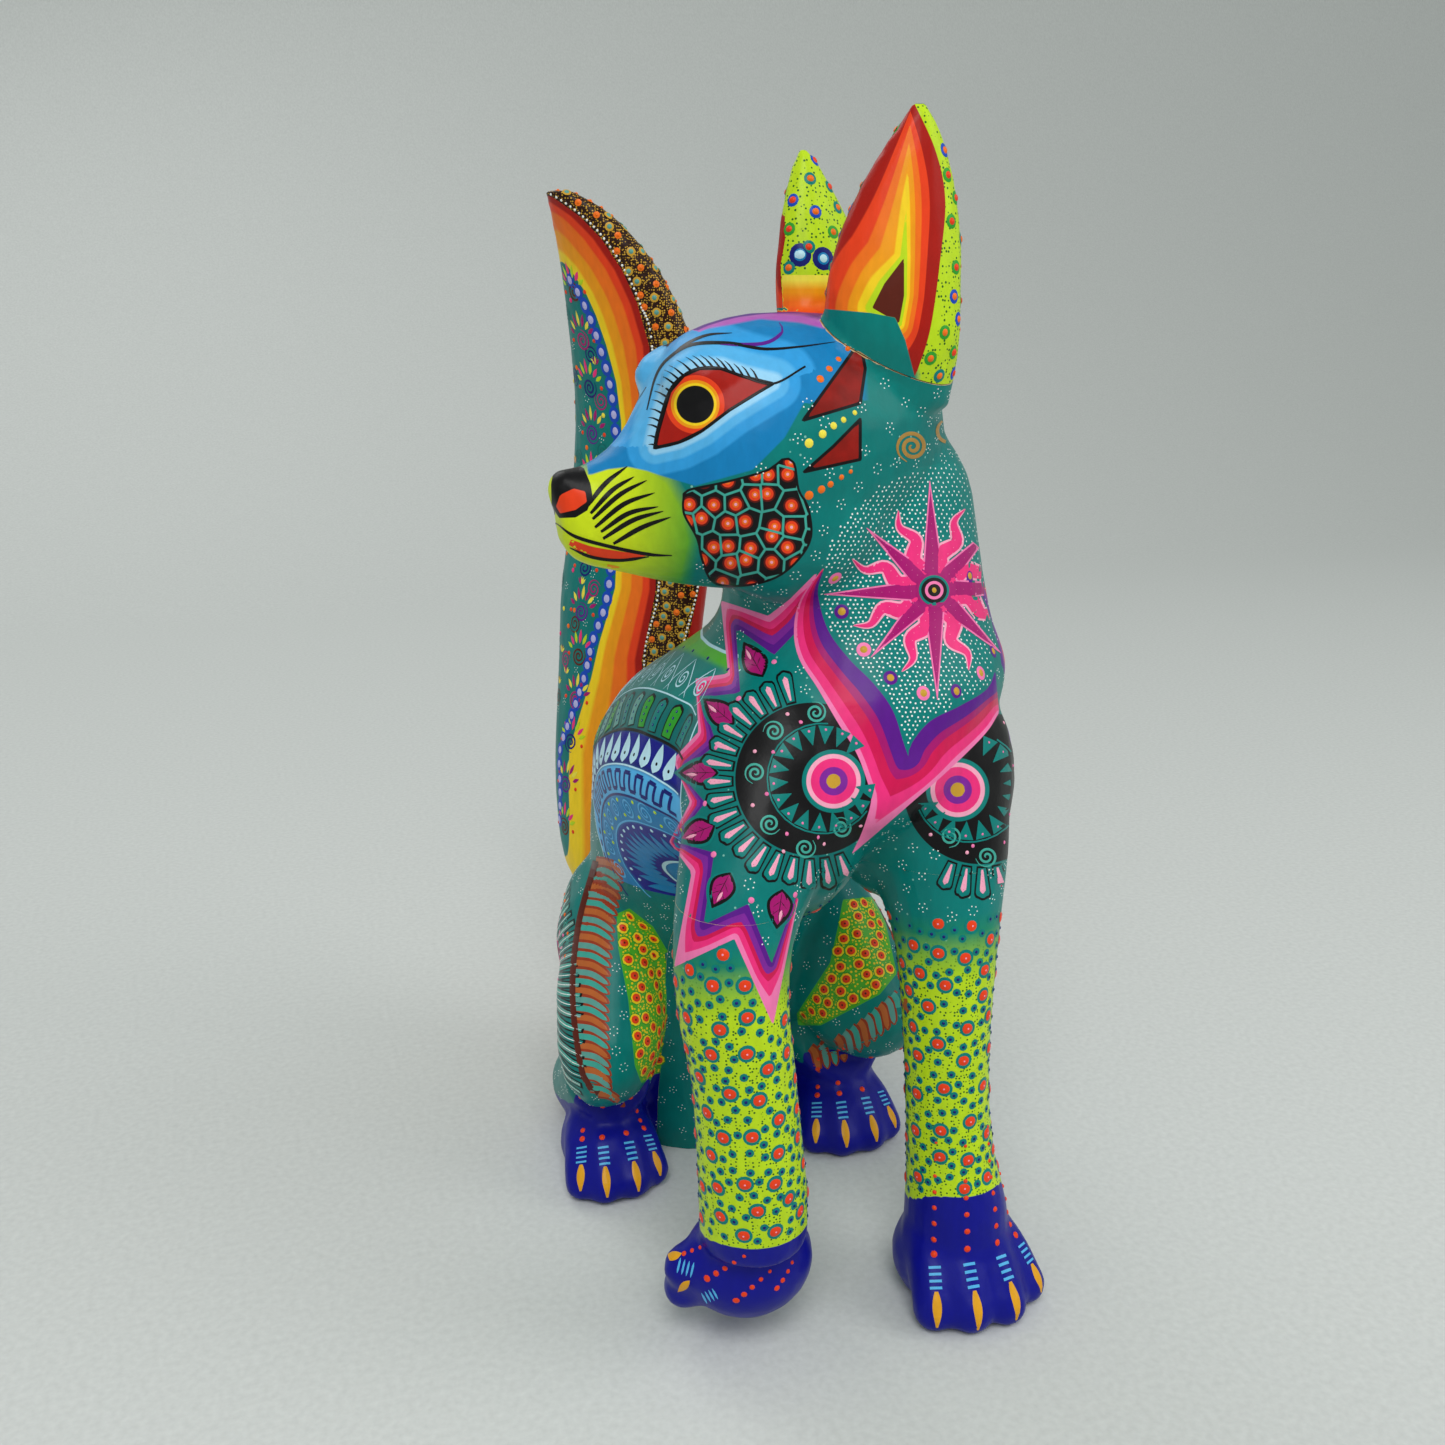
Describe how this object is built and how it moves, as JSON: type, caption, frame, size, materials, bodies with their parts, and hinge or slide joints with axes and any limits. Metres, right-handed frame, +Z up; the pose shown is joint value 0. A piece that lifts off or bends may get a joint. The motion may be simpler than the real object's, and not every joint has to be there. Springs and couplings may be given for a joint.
{
  "type": "carved fox alebrije figure",
  "caption": "Seated carved wooden fox figure with turned head, one raised forepaw, tall lift-out ears and a broad upright lift-out tail, painted all over in bright patterns.",
  "frame": {"origin": "centre of the bounding box in plan, on the floor the paws and rump stand on", "axes": "+Z up, -Y is where the chest faces, the snout is turned towards -X"},
  "size_m": [0.1708, 0.3152, 0.42],
  "materials": {
    "torso_paint": "satin acrylic paint over sanded copal",
    "head_paint": "satin acrylic paint over sanded copal",
    "left_foreleg_paint": "satin acrylic paint over sanded copal",
    "right_foreleg_paint": "satin acrylic paint over sanded copal",
    "left_hind_leg_paint": "satin acrylic paint over sanded copal",
    "right_hind_leg_paint": "satin acrylic paint over sanded copal",
    "left_ear_paint": "satin acrylic paint over sanded copal",
    "right_ear_paint": "satin acrylic paint over sanded copal",
    "tail_paint": "satin acrylic paint over sanded copal",
    "bare_wood": "raw turned wood"
  },
  "bodies": {
    "figure": {"torso": "torso_paint", "head": "head_paint", "left_foreleg": "left_foreleg_paint", "right_foreleg": "right_foreleg_paint", "left_hind_leg": "left_hind_leg_paint", "right_hind_leg": "right_hind_leg_paint", "neck_dowel": "bare_wood", "left_shoulder_dowel": "bare_wood", "right_shoulder_dowel": "bare_wood", "left_hip_dowel": "bare_wood", "right_hip_dowel": "bare_wood"},
    "left_ear": {"left_ear": "left_ear_paint"},
    "right_ear": {"right_ear": "right_ear_paint"},
    "tail": {"tail": "tail_paint"}
  },
  "joints": [
    {"name": "left_ear_pull", "type": "slide", "parent": "figure", "child": "left_ear", "axis": [0.2498, -0.4996, 0.8294], "range_m": [0, 0.04]},
    {"name": "right_ear_pull", "type": "slide", "parent": "figure", "child": "right_ear", "axis": [0.2498, 0.4996, 0.8294], "range_m": [0, 0.04]},
    {"name": "tail_pull", "type": "slide", "parent": "figure", "child": "tail", "axis": [0, 0.9397, 0.3419], "range_m": [0, 0.06]}
  ]
}
